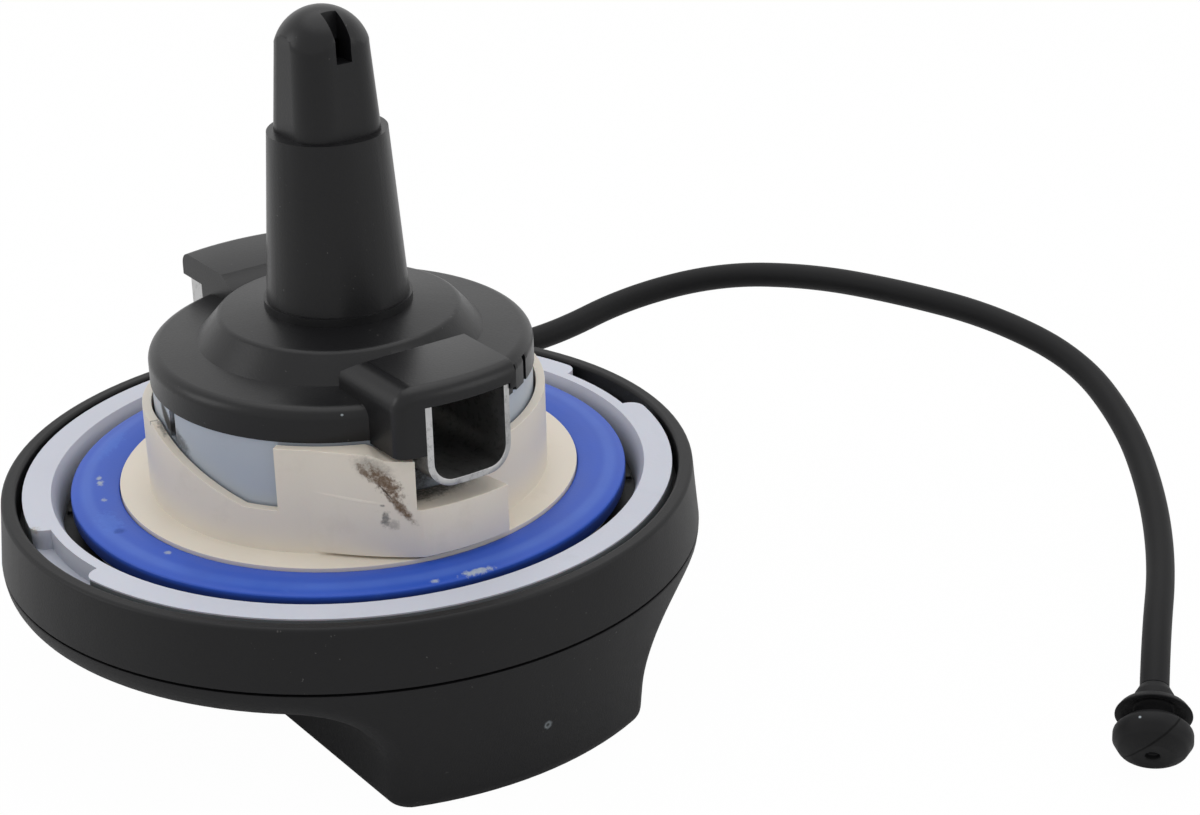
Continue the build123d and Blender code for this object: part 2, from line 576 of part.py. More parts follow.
def valve_cage():
    cage = tube(CAGE_WALL_R, CAGE_BORE_R, WEB_TOP_Z, CAGE_TOP_Z)
    cage -= tube(CAGE_WALL_R - CAGE_WALL, 0, WEB_TOP_Z, CAGE_CEILING_Z)
    window = block(0, CAGE_WALL_R + 1, -CAGE_WINDOW_WIDTH / 2, CAGE_WINDOW_WIDTH / 2,
                   WEB_TOP_Z + CAGE_WALL, CAGE_CEILING_Z - CAGE_WALL)
    for count in range(CAGE_WINDOW_COUNT):
        cage -= Rot(0, 0, (count + 0.5) * 360.0 / CAGE_WINDOW_COUNT) * window
    return cage


# ---------------------------------------------------------------- bayonet

def channel_section(inset):
    """U section across the lugs, as deep as the sheet steel channel grown by the inset."""
    half_width = CHANNEL_HALF_WIDTH + inset
    bottom_z = CHANNEL_BOTTOM_Z - inset
    bend_r = CHANNEL_BEND_R + inset
    height = CHANNEL_HEIGHT + inset
    outline = Pos(0, bottom_z + height / 2) * Rectangle(2 * half_width, height)
    lower = outline.vertices().group_by(Axis.Y)[0]
    return fillet(lower, bend_r)


def bayonet_channel():
    outer = channel_section(0.0)
    inner = channel_section(-CHANNEL_SHEET)
    inner += Pos(0, CHANNEL_TOP_Z) * Rectangle(2 * (CHANNEL_HALF_WIDTH - CHANNEL_SHEET), 3 * CHANNEL_SHEET)
    channel = extrude(Plane.YZ * (outer - inner), CHANNEL_HALF_LENGTH, both=True)
    end_cut = tube(2 * LUG_R, CHANNEL_HALF_LENGTH, CHANNEL_BOTTOM_Z - 1, CHANNEL_TOP_Z + 1)
    hole_r = SHAFT_HEX_FLATS / math.sqrt(3) + MOVING_GAP
    return channel - end_cut - tube(hole_r, 0, CHANNEL_BOTTOM_Z - 1, CHANNEL_BOTTOM_Z + 1)


def lug():
    side = Polyline((LUG_INNER_X, LUG_BOTTOM_Z), (LUG_R + 2, LUG_BOTTOM_Z), (LUG_R + 2, LUG_TOP_Z),
                    (LUG_RIDGE_X, LUG_TOP_Z), (LUG_INNER_X, LUG_INNER_Z), close=True)
    outline = Pos(0, LUG_THIN_SIDE, 0) * extrude(Plane.XZ * make_face(side), LUG_THIN_SIDE + LUG_THICK_SIDE)
    outline &= tube(LUG_R, 0, LUG_BOTTOM_Z, LUG_TOP_Z)
    shoulder = outline.edges().filter_by(Axis.X).filter_by(
        lambda e: e.center().Y < 0 and e.center().Z > LUG_TOP_Z - 0.1)
    outline = fillet(shoulder, LUG_SHOULDER_FILLET)
    ends = outline.edges().filter_by(lambda e: math.hypot(e.center().X, e.center().Y) > LUG_R - 3
                                     and e.center().Y < -LUG_THICK_SIDE / 2 and e.center().Z < LUG_TOP_Z - 2
                                     and e.center().Z > LUG_BOTTOM_Z + 1)
    outline = fillet(ends, LUG_END_FILLET)
    return outline - block(SKIRT_R + RUNNING_GAP, LUG_R + 1, 0, LUG_THIN_SIDE + 1,
                           LUG_BOTTOM_Z - 1, LUG_THIN_SIDE_BOTTOM_Z)


def bayonet_body():
    body = turned([
        (0, SKIRT_BOTTOM_Z), (SKIRT_R, SKIRT_BOTTOM_Z), (SKIRT_R, DISC_RIM_Z), (BOSS_BASE_R, BOSS_BASE_Z),
        (BOSS_TOP_R, BOSS_TOP_Z), (STEM_FOOT_R, BOSS_CENTRE_Z), (STEM_FOOT_R, BOSS_CENTRE_Z + STEM_FOOT_HEIGHT),
        (STEM_BASE_R, BOSS_CENTRE_Z + STEM_FOOT_HEIGHT), (STEM_TOP_R, STEM_TOP_Z), (0, STEM_TOP_Z)],
        [((SKIRT_R, DISC_RIM_Z), DISC_EDGE_FILLET), ((BOSS_TOP_R, BOSS_TOP_Z), BOSS_TOP_FILLET)])
    body += both_sides(lug())
    body -= tube(SKIRT_BORE_R, 0, SKIRT_BOTTOM_Z, SKIRT_CEILING_Z)
    body -= tube(SKIRT_R, 0, SKIRT_BOTTOM_Z - 5, SKIRT_BOTTOM_Z)
    tunnel = extrude(Plane.YZ * channel_section(CHANNEL_FIT), LUG_R + 5, both=True)
    body -= tunnel
    body -= tube(STEM_BORE_R, 0, SPRING_LEDGE_Z, STEM_TOP_Z + 1)
    body -= hexagon(SHAFT_HEX_FLATS + 2 * RUNNING_GAP, SKIRT_BOTTOM_Z, SPRING_LEDGE_Z + 1)
    for side in (-1, 1):
        slot = Rot(0, 0, TONGUE_ANGLE + side * TONGUE_SLOT_ANGLE) * block(
            SKIRT_BORE_R - 1, SKIRT_R + 1, -TONGUE_SLOT_WIDTH / 2, TONGUE_SLOT_WIDTH / 2,
            SKIRT_BOTTOM_Z - 1, TONGUE_SLOT_TOP_Z)
        body -= slot
        body -= Rot(0, 0, 180) * slot
    return body


def guide_sleeve():
    spigot_top_z = SKIRT_BOTTOM_Z + SLEEVE_SPIGOT_HEIGHT
    sleeve = tube(SLEEVE_R, SLEEVE_BORE_R, SLEEVE_BOTTOM_Z, SKIRT_BOTTOM_Z)
    sleeve += tube(SKIRT_BORE_R - RUNNING_GAP, SLEEVE_BORE_R, SKIRT_BOTTOM_Z, spigot_top_z)
    passage = channel_section(SLEEVE_CHANNEL_GAP)
    sleeve -= extrude(Plane.YZ * passage, SLEEVE_R + 1, both=True)
    slot = block(SLEEVE_BORE_R - 1, SLEEVE_R + 1, -SLEEVE_SLOT_WIDTH / 2, SLEEVE_SLOT_WIDTH / 2,
                 SKIRT_BOTTOM_Z - SLEEVE_SLOT_HEIGHT, spigot_top_z + 1)
    return sleeve - both_sides(Rot(0, 0, -91) * slot)


# ---------------------------------------------------------------- vent tip and relief valve

def rounded_square(half_width, corner_r):
    return RectangleRounded(2 * half_width, 2 * half_width, corner_r)


def vent_tip():
    neck_z = TIP_TOP_Z - TIP_DOME_HEIGHT
    lower = Pos(0, 0, STEM_TOP_Z) * rounded_square(TIP_HALF_WIDTH, TIP_CORNER_R)
    upper = Pos(0, 0, neck_z) * rounded_square(TIP_TOP_HALF_WIDTH, TIP_CORNER_R * 0.95)
    tip = loft([lower, upper])
    dome = extrude(upper, TIP_DOME_HEIGHT + 0.5)
    dome_r = (TIP_TOP_HALF_WIDTH ** 2 * 1.25 + TIP_DOME_HEIGHT ** 2) / (2 * TIP_DOME_HEIGHT)
    tip += dome & (Pos(0, 0, TIP_TOP_Z - dome_r) * Sphere(dome_r))
    tip += tube(STEM_BORE_R - RUNNING_GAP, 0, TIP_SPIGOT_BOTTOM_Z, STEM_TOP_Z)
    tip -= tube(TIP_CHAMBER_R, 0, TIP_SPIGOT_BOTTOM_Z, TIP_SEAT_Z)
    tip -= tube(TIP_SEAT_HOLE_R, 0, TIP_SEAT_Z, TIP_SLOT_BOTTOM_Z + 1)
    tip -= tube(TIP_CHAMBER_R - 1, 0, TIP_SEAT_Z + TIP_SEAT_THICKNESS, TIP_SLOT_BOTTOM_Z + 2)
    slot = block(TIP_TOP_HALF_WIDTH - TIP_SLOT_DEPTH, TIP_HALF_WIDTH + 1, -TIP_SLOT_WIDTH / 2, TIP_SLOT_WIDTH / 2,
                 TIP_SLOT_BOTTOM_Z, TIP_TOP_Z)
    return tip - slot


def relief_poppet():
    poppet = tube(POPPET_R, 0, POPPET_TOP_Z - POPPET_THICKNESS, POPPET_TOP_Z)
    return poppet + tube(POPPET_STEM_R, 0, POPPET_TOP_Z - POPPET_STEM_LENGTH, POPPET_TOP_Z)


def relief_retainer():
    return tube(TIP_CHAMBER_R - RUNNING_GAP / 2, RELIEF_SPRING_R - 1, TIP_SPIGOT_BOTTOM_Z, RELIEF_RETAINER_TOP_Z)


def relief_spring():
    return compression_spring(RELIEF_SPRING_R, RELIEF_WIRE_R, RELIEF_RETAINER_TOP_Z,
                              POPPET_TOP_Z - POPPET_THICKNESS - SEAT_GAP, RELIEF_SPRING_TURNS)


# ---------------------------------------------------------------- tether

def strap_direction(first, second):
    return (STRAP_POINTS[second] - STRAP_POINTS[first]).normalized()


def tether_ring():
    ring = turned([
        (CUP_WALL_R + 2 * RUNNING_GAP, SEAM_Z + SEAM_GAP), (RIM_R, SEAM_Z + SEAM_GAP),
        (TETHER_RING_TOP_R, TETHER_RING_TOP_Z), (TETHER_RING_BORE_R, TETHER_RING_TOP_Z),
        (TETHER_RING_BORE_R, TETHER_LIP_TOP_Z), (CUP_WALL_R + 2 * RUNNING_GAP, TETHER_LIP_TOP_Z)])
    ring = fillet(ring.edges().group_by(Axis.Z)[-1], TETHER_EDGE_R)
    start = STRAP_POINTS[0]
    leave = strap_direction(0, 1)
    root = Solid.make_cone(ROOT_R, STRAP_R, ROOT_LENGTH, Plane(start - leave * ROOT_LENGTH, z_dir=leave))
    return ring + (root - tube((RIM_R + TETHER_RING_BORE_R) / 2, 0, 0, TIP_TOP_Z))


def strap_bends():
    """Radius of the arc at each inner point of the strap's route."""
    radii = []
    for index in range(1, len(STRAP_POINTS) - 1):
        before = STRAP_POINTS[index] - STRAP_POINTS[index - 1]
        after = STRAP_POINTS[index + 1] - STRAP_POINTS[index]
        half_turn = math.radians(before.get_angle(after)) / 2
        radii.append(STRAP_BEND_SHARE * min(before.length, after.length) / math.tan(half_turn))
    return radii


def strap_path():
    return FilletPolyline(*STRAP_POINTS, radius=strap_bends())


def tether_strap():
    path = strap_path()
    section = Plane(STRAP_POINTS[0], z_dir=strap_direction(0, 1)) * Circle(STRAP_R)
    return sweep(section, path=path)


def tether_plug():
    cup_z = PLUG_COLLAR_LENGTH
    neck_z = cup_z + PLUG_CUP_LENGTH
    head_z = neck_z + PLUG_NECK_LENGTH - PLUG_CUP_LENGTH / 2
    end_z = head_z + PLUG_HEAD_LENGTH
    plug = turned([
        (0, 0), (STRAP_R, 0), (PLUG_COLLAR_R, PLUG_COLLAR_LENGTH / 2), (PLUG_COLLAR_R, cup_z),
        (PLUG_CUP_R - PLUG_CUP_WALL, cup_z + PLUG_CUP_WALL), (PLUG_CUP_R, neck_z),
        (PLUG_CUP_R - PLUG_CUP_WALL, neck_z), (PLUG_COLLAR_R, cup_z + PLUG_CUP_WALL),
        (PLUG_NECK_R, cup_z + 2 * PLUG_CUP_WALL), (PLUG_NECK_R, head_z),
        (PLUG_HEAD_R - 1, head_z), (PLUG_HEAD_R, head_z + 1), (PLUG_HEAD_R, head_z + PLUG_HEAD_LENGTH / 2),
        (PLUG_HEAD_R * 0.85, end_z - 0.8), (PLUG_HEAD_R * 0.5, end_z), (0, end_z)])
    plug -= Pos(0, 0, end_z) * Cylinder(PLUG_DIMPLE_R, 2 * PLUG_DIMPLE_DEPTH)
    return Plane(STRAP_POINTS[-1], z_dir=strap_direction(-2, -1)) * plug


PIECES = [
    grip_shell, clutch_cover, retaining_ring, drive_plate, click_ring, drive_shaft, drive_screw, shaft_o_ring,
    shaft_washer, shaft_clip, lift_spring, closure_collar, seal_ring, vacuum_valve_seal, vacuum_valve_plate,
    vacuum_valve_spring, valve_cage, bayonet_channel, bayonet_body, guide_sleeve, vent_tip, relief_poppet,
    relief_retainer, relief_spring, tether_ring, tether_strap, tether_plug,
]

for piece in PIECES:
    export_step(piece(), "parts/" + piece.__name__ + ".step")

strap_length = strap_path().length
print("strap bend radii:", [round(radius, 1) for radius in strap_bends()])
print("strap length:", round(strap_length, 1), "section times length:", round(math.pi * STRAP_R ** 2 * strap_length, 1))
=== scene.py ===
import json
import math

import bmesh
import bpy
from bpy.props import FloatProperty, FloatVectorProperty, IntProperty, PointerProperty
from mathutils import Matrix, Vector


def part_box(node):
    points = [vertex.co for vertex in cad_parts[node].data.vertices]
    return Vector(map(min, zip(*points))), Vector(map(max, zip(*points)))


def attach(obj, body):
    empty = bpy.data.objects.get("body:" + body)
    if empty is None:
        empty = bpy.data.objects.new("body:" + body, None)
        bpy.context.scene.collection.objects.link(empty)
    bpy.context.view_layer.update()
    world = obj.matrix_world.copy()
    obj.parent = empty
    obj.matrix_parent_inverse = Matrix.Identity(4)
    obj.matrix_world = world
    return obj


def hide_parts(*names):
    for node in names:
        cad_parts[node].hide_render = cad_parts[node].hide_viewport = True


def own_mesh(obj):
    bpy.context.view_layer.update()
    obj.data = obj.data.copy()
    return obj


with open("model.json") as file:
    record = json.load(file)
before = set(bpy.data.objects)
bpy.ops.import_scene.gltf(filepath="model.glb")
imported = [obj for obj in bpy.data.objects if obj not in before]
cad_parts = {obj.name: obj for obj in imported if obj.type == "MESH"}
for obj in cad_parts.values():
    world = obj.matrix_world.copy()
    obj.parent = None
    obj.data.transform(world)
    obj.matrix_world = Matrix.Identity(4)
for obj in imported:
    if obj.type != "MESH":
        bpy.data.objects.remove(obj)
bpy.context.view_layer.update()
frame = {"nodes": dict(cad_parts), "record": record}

bl_info = {
    "name": "Fuel filler cap",
    "version": (1, 0, 0),
    "blender": (4, 5, 0),
    "location": "View3D > Sidebar > Filler cap",
    "description": "Rounds the edges of a fuel filler cap's solids and adds its springs, tether and finishes",
    "category": "Object",
}

MM = 0.001

# Preparing a solid: doubled points merged, flat faces joined, edges rounded where they turn by more than this.
MERGE_DISTANCE = 0.002 * MM
FLAT_ANGLE = math.radians(0.4)
SHARP_ANGLE = math.radians(32.0)
EDGE_SEGMENTS = 2

# The groove round the seal: radii of the white ring's inner and outer walls, and heights up its walls, where painted
# shade is laid on them.
RING_INNER_RADIUS = 34.68 * MM
RING_OUTER_RADIUS = 37.82 * MM
RING_TOP = 24.22 * MM
GROOVE_SHADE_LOW = 21.6 * MM
GROOVE_SHADE_HIGH = 24.2 * MM

# The seal: radius of the painted highlight along its crown, the highlight's half width, and how high the painted
# shade on its outer side reaches.
CROWN_RADIUS = 30.6 * MM
CROWN_CORE = 0.2 * MM
CROWN_FADE = 1.1 * MM
SEAL_SIDE_LOW = 23.3 * MM
SEAL_SIDE_HIGH = 24.05 * MM

# Springs: points to a turn of wire, points round an end turn, points round the wire.
COIL_POINTS = 28
END_TURN_POINTS = 32
WIRE_POINTS = 12

# The camera's own axes.
CAMERA_RIGHT = (0.58268, 0.81242, -0.02149)
CAMERA_UP = (-0.32119, 0.25449, 0.91218)
CAMERA_BACK = (0.74654, -0.52461, 0.40922)
SENSOR_WIDTH_MM = 36.0

# The floor: half its side, its height just under the cap, and how white the camera sees it.
FLOOR_REACH = 4.0
FLOOR_HEIGHT = -0.2 * MM
FLOOR_WHITE = 0.985

# Lamps: setting that holds the power, place, and size across. All point at the cap's middle.
LAMPS = [
    ("top_lamp", (-0.10, 0.10, 0.75), 0.9),
    ("side_lamp", (-0.35, -0.60, 0.35), 0.4),
    ("right_lamp", (0.50, 0.35, 0.30), 0.4),
]
LAMP_TARGET = (0.0, 0.0, 0.03)

# The strap's route, from its root on the tether ring to its plug, in metres.
STRAP_ROUTE = [
    (-0.0300, 0.0310, 0.0193), (-0.0292, 0.0375, 0.0189), (-0.0272, 0.0475, 0.0195), (-0.0260, 0.0595, 0.0225),
    (-0.0185, 0.0698, 0.0257), (-0.0076, 0.0769, 0.0270), (0.0044, 0.0820, 0.0271), (0.0161, 0.0877, 0.0259),
    (0.0286, 0.0909, 0.0231), (0.0409, 0.0873, 0.0196), (0.0516, 0.0809, 0.0160), (0.0613, 0.0726, 0.0129),
    (0.0696, 0.0630, 0.0103), (0.0739, 0.0585, 0.0072),
]

# Marks of wear and dirt, and of painted shade and painted highlight: centre and half sizes in millimetres, slope and
# heading in degrees, tint, strength, ragged edge.
COLLAR_MARKS = [
    # The first mark is a pale line along the post's parting line, lightened as a painted highlight where its small
    # ledge faces up.
    ((21.2, -11.85, 31.6), (4.6, 1.1, 0.24), (6.6, 44.1), "pale", 0.70, 0.2),
    ((23.2, -10.1, 35.3), (3.0, 1.0, 1.6), (25.0, 48.7), "khaki", 0.85, 0.35),
    ((22.55, -10.8, 35.00), (1.2, 0.6, 0.62), (49.0, 48.7), "scuff", 0.85, 0.8),
    ((24.05, -9.2, 33.70), (3.0, 0.9, 1.25), (45.0, 48.7), "scuff", 1.00, 0.8),
    ((24.95, -8.1, 30.95), (3.0, 0.8, 0.66), (52.0, 48.7), "scuff", 1.00, 0.6),
    ((24.02, -9.21, 32.70), (1.60, 0.5, 0.15), (50.5, 48.7), "line", 0.95, 0.2),
    ((23.75, -9.52, 30.99), (0.34, 0.4, 0.20), (0.0, 48.7), "soot", 0.70, 0.6),
    ((23.95, -9.30, 29.31), (0.60, 0.6, 1.10), (10.0, 48.7), "soot", 0.80, 0.6),
    ((24.50, -8.67, 28.73), (0.80, 0.6, 0.80), (0.0, 48.7), "soot", 0.45, 0.6),
    # Painted shade: the next mark darkens the notch's floor under the lug, and the one after paints a dark spot
    # beside the left window. The third darkens the ramp's inner edge.
    ((22.4, -3.5, 30.4), (2.9, 7.0, 0.9), (0.0, 0.0), "grease_and_shade", 0.90, 0.3),
    ((-4.05, -22.55, 34.65), (0.22, 0.75, 0.40), (0.0, -10.0), "grease_and_shade", 0.80, 0.5),
    ((-2.6, -22.3, 34.9), (2.6, 0.5, 0.9), (24.0, -7.0), "grease_and_shade", 0.60, 0.7),
]
SLEEVE_MARKS = [
    # Painted shade: the first three marks paint the dark slot in the left window, the fourth a painted shadow along
    # the window's lower edge, and the last the shade in the notch under the lug.
    ((-2.05, -21.5, 35.65), (2.90, 2.0, 1.15), (48.0, -3.0), "grease_and_shade", 1.00, 0.12),
    ((-2.05, -21.5, 35.65), (2.50, 2.0, 0.95), (48.0, -3.0), "grease_and_shade", 1.00, 0.05),
    ((-0.90, -20.6, 35.4), (0.6, 1.6, 3.0), (0.0, 0.0), "soot", 0.75, 0.1),
    ((0.6, -21.9, 34.2), (3.6, 0.7, 1.1), (28.0, 0.0), "grease_and_shade", 0.70, 0.5),
    ((21.3, -4.6, 33.2), (1.5, 4.6, 6.0), (0.0, 0.0), "grease_and_shade", 0.97, 0.2),
]
# Painted shade on the channel's leg inside the notch, beside the lug.
STEEL_MARKS = [((22.5, -5.8, 34.5), (6.0, 0.8, 6.0), (0.0, 0.0), "grease_and_shade", 0.95, 0.2)]
SEAL_MARKS = [
    ((-22.18, -19.94, 24.44), (5.0, 1.0, 0.9), (0.0, -48.0), "bloom_and_highlight", 0.60, 0.8),
    ((-14.74, -25.22, 24.44), (0.60, 0.4, 0.5), (0.0, -30.0), "chalk", 0.75, 0.8),
    ((-13.42, -25.67, 24.43), (0.90, 0.5, 0.5), (0.0, -27.0), "chalk", 0.80, 0.9),
    ((-9.07, -27.32, 24.42), (0.60, 0.4, 0.5), (0.0, -18.0), "chalk", 0.65, 0.9),
    ((-3.42, -29.30, 24.44), (3.6, 1.6, 0.9), (0.0, -7.0), "bloom_and_highlight", 0.60, 0.9),
    ((-0.66, -29.41, 24.44), (0.80, 0.8, 0.5), (0.0, 0.0), "deep", 0.70, 0.7),
    ((7.30, -27.56, 24.40), (0.60, 0.5, 0.5), (0.0, 15.0), "chalk", 0.75, 0.8),
    ((30.86, -7.69, 24.23), (0.60, 0.4, 0.5), (0.0, 76.0), "chalk", 0.75, 0.8),
    ((31.75, -2.90, 24.20), (2.20, 0.6, 0.6), (0.0, 82.0), "chalk", 0.90, 0.8),
]
RING_MARKS = [((-7.28, -36.92, 24.4), (0.9, 0.8, 0.8), (0.0, 0.0), "khaki", 0.60, 0.8)]
GRIP_MARKS = [
    ((39.8, 0.25, 7.70), (0.9, 0.62, 0.62), (0.0, 0.0), "chalk", 0.42, 0.3),
    ((39.8, 0.25, 7.70), (0.9, 0.34, 0.34), (0.0, 0.0), "grease_and_shade", 0.90, 0.3),
]
PLUG_MARKS = [
    ((80.51, 52.44, 6.21), (8.0, 8.0, 0.18), (45.0, 208.3), "seam", 1.00, 0.05),
    ((78.05, 51.79, 7.91), (0.20, 0.20, 0.14), (0.0, 0.0), "chalk", 1.00, 0.3),
]
BAYONET_MARKS = [((18.9, -11.03, 40.47), (0.20, 0.20, 0.15), (0.0, 0.0), "chalk", 0.65, 0.3)]


# ---------------------------------------------------------------- settings

def colour(label, text, default):
    return FloatVectorProperty(name=label, description=text, subtype="COLOR", size=3, min=0.0, max=1.0,
                               default=default)


def length(label, text, default):
    return FloatProperty(name=label, description=text, subtype="DISTANCE", unit="LENGTH", min=0.0,
                         default=default)


def turns(label, text, default):
    return IntProperty(name=label, description=text, min=2, default=default)


def power(label, text, default):
    return FloatProperty(name=label, description=text, unit="POWER", min=0.0, default=default)


class FillerCapColours(bpy.types.PropertyGroup):
    """Colours of the cap's mouldings, rubbers and metal."""

    shell: colour("Shell", "Black moulded plastic of the grip, the rim and the bayonet", (0.0068, 0.0068, 0.0075))
    ring: colour("Retaining ring", "White plastic ring inside the rim", (0.56, 0.58, 0.66))
    collar: colour("Collar", "Cream plastic of the closure collar", (0.72, 0.66, 0.57))
    sleeve: colour("Sleeve", "Grey-blue plastic of the guide sleeve", (0.38, 0.42, 0.48))
    inner: colour("Inner parts", "Natural plastic of the clutch and the valves", (0.56, 0.53, 0.46))
    seal: colour("Seal", "Blue rubber of the seal ring", (0.016, 0.078, 0.47))
    strap: colour("Strap", "Black rubber of the tether", (0.0065, 0.0065, 0.007))
    steel: colour("Steel", "Bright sheet steel of the channel", (0.50, 0.50, 0.50))
    scuff: colour("Scuff", "Brown dirt rubbed into the collar", (0.128, 0.080, 0.044))
    # Also the colour of the painted shade in the sleeve's slot, and, darkened, of the painted shade in the notch.
    soot: colour("Soot", "Grey dirt on the collar", (0.085, 0.085, 0.08))


class FillerCapSizes(bpy.types.PropertyGroup):
    """Sizes that finish the solids."""

    shell_edge: length("Shell edges", "Rounding of the black mouldings' sharp edges", 0.35 * MM)
    moulding_edge: length("Moulding edges", "Rounding of the pale mouldings' sharp edges", 0.22 * MM)
    sheet_edge: length("Sheet edges", "Rounding of the steel channel's cut edges", 0.10 * MM)
    strap_radius: length("Strap radius", "Half the thickness of the tether strap", 1.65 * MM)
    lift_wire: length("Lift spring wire", "Radius of the lift spring's wire", 0.40 * MM)
    valve_wire: length("Valve spring wire", "Radius of the ring valve spring's wire", 0.45 * MM)
    relief_wire: length("Relief spring wire", "Radius of the relief spring's wire", 0.28 * MM)
    lift_turns: turns("Lift spring turns", "Working turns of the lift spring", 5)
    valve_turns: turns("Valve spring turns", "Working turns of the ring valve spring", 3)
    relief_turns: turns("Relief spring turns", "Working turns of the relief spring", 6)


class FillerCapStage(bpy.types.PropertyGroup):
    """Camera, lamps and floor."""

    lens: FloatProperty(name="Lens", description="Focal length on a 36 mm wide sensor", unit="CAMERA", default=78.06)
    camera_place: FloatVectorProperty(name="Camera", description="Where the camera stands", subtype="XYZ",
                                      unit="LENGTH", size=3, default=(0.24357, -0.13501, 0.15505))
    top_lamp: power("Top lamp", "Power of the large lamp overhead", 2.35)
    side_lamp: power("Side lamp", "Power of the lamp at the left", 0.9)
    right_lamp: power("Right lamp", "Power of the lamp at the right", 0.6)
    fill: FloatProperty(name="Fill", description="Strength of the white surroundings", min=0.0, default=0.60)


def sizes():
    return bpy.context.scene.filler_cap_sizes


def colours():
    return bpy.context.scene.filler_cap_colours


def stage_settings():
    return bpy.context.scene.filler_cap_stage


# ---------------------------------------------------------------- shader expressions

# The Mix node's sockets for colours, by number, since its sockets for other kinds bear the same names.
MIX_FIRST, MIX_SECOND, MIX_RESULT = 6, 7, 2


class Wire:
    """A shader socket that joins in Python arithmetic."""

    def __init__(self, finish, socket):
        self.finish = finish
        self.socket = socket

    def __add__(self, other):
        return self.finish.maths("ADD", self, other)

    def __radd__(self, other):
        return self.finish.maths("ADD", other, self)

    def __sub__(self, other):
        return self.finish.maths("SUBTRACT", self, other)

    def __rsub__(self, other):
        return self.finish.maths("SUBTRACT", other, self)

    def __mul__(self, other):
        return self.finish.maths("MULTIPLY", self, other)

    def __rmul__(self, other):
        return self.finish.maths("MULTIPLY", other, self)

    def __gt__(self, other):
        return self.finish.maths("GREATER_THAN", self, other)

    def __lt__(self, other):
        return self.finish.maths("LESS_THAN", self, other)

    def __abs__(self):
        return self.finish.maths("ABSOLUTE", self, 0.0)


class Finish:
    """A material, or the surroundings, and the nodes that make it."""

    def __init__(self, material):
        self.material = material
        self.material.use_nodes = True
        self.tree = self.material.node_tree
        self.tree.nodes.clear()

    def node(self, kind, settings=(), inputs=(), output=0):
        """Adds a node, sets its settings, then fills its sockets with values or wires."""
        made = self.tree.nodes.new(kind)
        for key, value in dict(settings).items():
            setattr(made, key, value)
        for key, value in dict(inputs).items():
            socket = made.inputs[key]
            if isinstance(value, Wire):
                self.tree.links.new(value.socket, socket)
            else:
                socket.default_value = value
        return None if output is None else Wire(self, made.outputs[output])

    def maths(self, operation, first, second):
        return self.node("ShaderNodeMath", {"operation": operation}, {0: first, 1: second})

    def clamp(self, value):
        return self.node("ShaderNodeClamp", {}, {"Value": value})

    def step(self, value, low, high):
        """0 below low, 1 above high, smooth between them."""
        return self.node("ShaderNodeMapRange", {"interpolation_type": "SMOOTHSTEP"},
                         {"Value": value, "From Min": low, "From Max": high})

    def place(self):
        """Object coordinates."""
        return self.node("ShaderNodeTexCoord", {}, {}, "Object")

    def turned(self, centre, angles, stretch=(1.0, 1.0, 1.0)):
        """Object coordinates about a centre, turned and stretched."""
        return self.node("ShaderNodeMapping", {"vector_type": "TEXTURE"},
                         {"Vector": self.place(), "Location": centre, "Rotation": angles, "Scale": stretch})

    def noise(self, size, detail=2.0, roughness=0.5, place=None):
        """Noise from 0 to 1 whose patches are about size metres across."""
        return self.node("ShaderNodeTexNoise", {}, {"Vector": place or self.place(), "Scale": 1.0 / size,
                                                    "Detail": detail, "Roughness": roughness})

    def mix(self, factor, first, second):
        """Colour between two, through the Mix node's colour sockets."""
        return self.node("ShaderNodeMix", {"data_type": "RGBA"},
                         {"Factor": factor, MIX_FIRST: self.shade(first), MIX_SECOND: self.shade(second)}, MIX_RESULT)

    def shade(self, value):
        """A colour as a colour socket takes it."""
        return value if isinstance(value, Wire) else (*value[:3], 1.0)

    def height(self):
        """Height above the foot of the grip."""
        return self.node("ShaderNodeSeparateXYZ", {}, {"Vector": self.place()}, "Z")

    def radius(self):
        """Distance from the cap's axis."""
        flat = self.node("ShaderNodeVectorMath", {"operation": "MULTIPLY"},
                         {0: self.place(), 1: (1.0, 1.0, 0.0)}, "Vector")
        return self.node("ShaderNodeVectorMath", {"operation": "LENGTH"}, {0: flat}, "Value")

    def bump(self, height, depth):
        """A normal raised by height, whose full range is depth metres."""
        return self.node("ShaderNodeBump", {}, {"Height": height, "Distance": depth})

    def spot(self, centre, half, turn, ragged):
        """1 inside a turned ellipsoid and 0 outside, with an edge from clean to ragged."""
        slope, heading = turn
        place = self.turned([part * MM for part in centre], (0.0, math.radians(slope), math.radians(heading)),
                            [part * MM for part in half])
        reach = self.node("ShaderNodeVectorMath", {"operation": "LENGTH"}, {0: place}, "Value")
        fringe = self.noise(0.55 * MM, 4.0, 0.7)
        return 1.0 - self.step(reach + (fringe - 0.5) * (2.6 * ragged), 0.35, 1.05)

    def marked(self, base, marks):
        """The base colour with marks of wear, dirt and painted light laid over it, and their joint cover."""
        cover = 0.0
        mottle = self.clamp(self.noise(0.32 * MM, 3.0, 0.6) * 2.4 - 0.35) if marks else 1.0
        for centre, half, turn, tint, strength, ragged in marks:
            mark = self.spot(centre, half, turn, ragged) * strength * (mottle * 0.40 + 0.60)
            base = self.mix(mark, base, TINTS[tint]())
            cover = mark + cover
        return base, self.clamp(cover)

    def surface(self, **sockets):
        """Closes the material with a Principled surface. Underscores stand for spaces in the socket names."""
        inputs = {}
        for key, value in sockets.items():
            name = key.replace("_", " ")
            inputs[name] = self.shade(value) if name == "Base Color" else value
        return self.close(self.node("ShaderNodeBsdfPrincipled", {}, inputs))

    def close(self, shader, kind="ShaderNodeOutputMaterial"):
        """Joins the shader to the output of the material or of the surroundings."""
        self.node(kind, {}, {"Surface": shader}, None)
        return self.material


# ---------------------------------------------------------------- finishes

def toned(shade, factor):
    """The shade made lighter or darker by a factor."""
    return tuple(min(1.0, part * factor) for part in shade)
